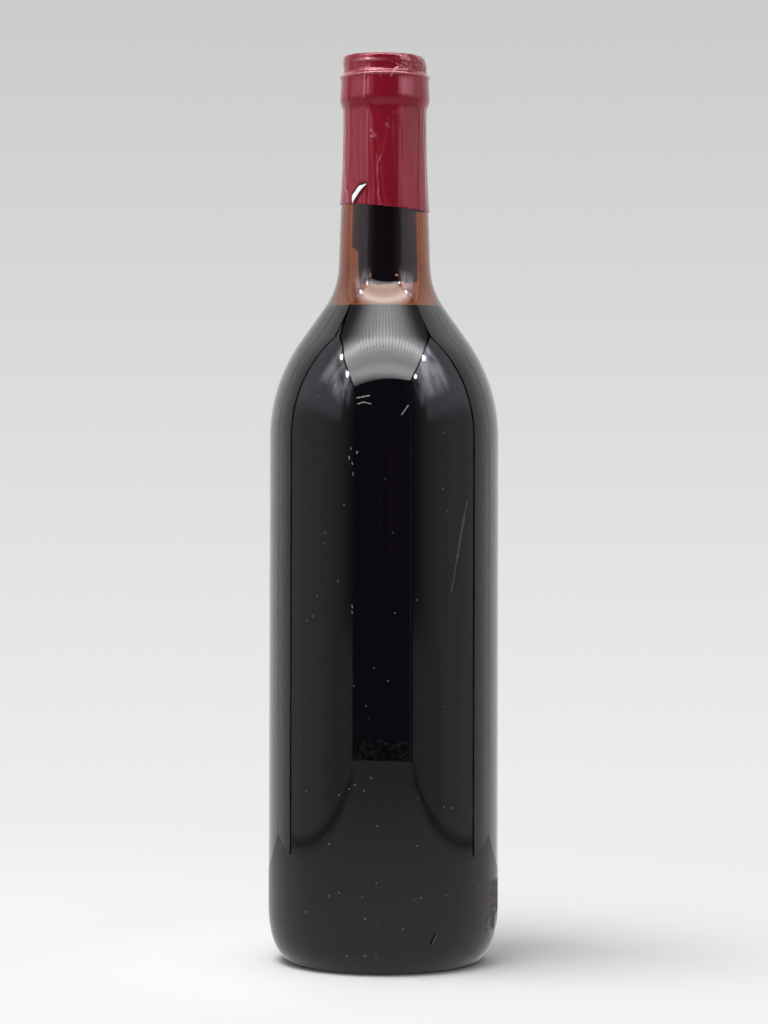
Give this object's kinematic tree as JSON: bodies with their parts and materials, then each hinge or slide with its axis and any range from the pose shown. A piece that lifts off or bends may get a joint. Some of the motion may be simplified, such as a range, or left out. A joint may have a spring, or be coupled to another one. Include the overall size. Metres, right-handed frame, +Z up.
{
  "type": "wine bottle",
  "caption": "Corked straight-sided glass wine bottle with high shoulders, filled with dark red wine, its neck and lip in a creased crimson capsule.",
  "frame": {"origin": "on the bottle's axis, on the surface that it stands on", "axes": "+Z up along the bottle's axis towards the mouth; -Y is the side that the picture shows"},
  "size_m": [0.076, 0.076, 0.299],
  "materials": {
    "amber_glass": "clear amber brown, glossy, a little worn and dusty",
    "red_wine": "very dark red liquid, still",
    "wet_cork": "cork stained almost black by wine",
    "capsule_foil": "crimson lacquered foil, satin, creased"
  },
  "bodies": {
    "root": {"bottle": "amber_glass", "wine": "red_wine", "cork": "wet_cork", "capsule": "capsule_foil"}
  },
  "joints": []
}
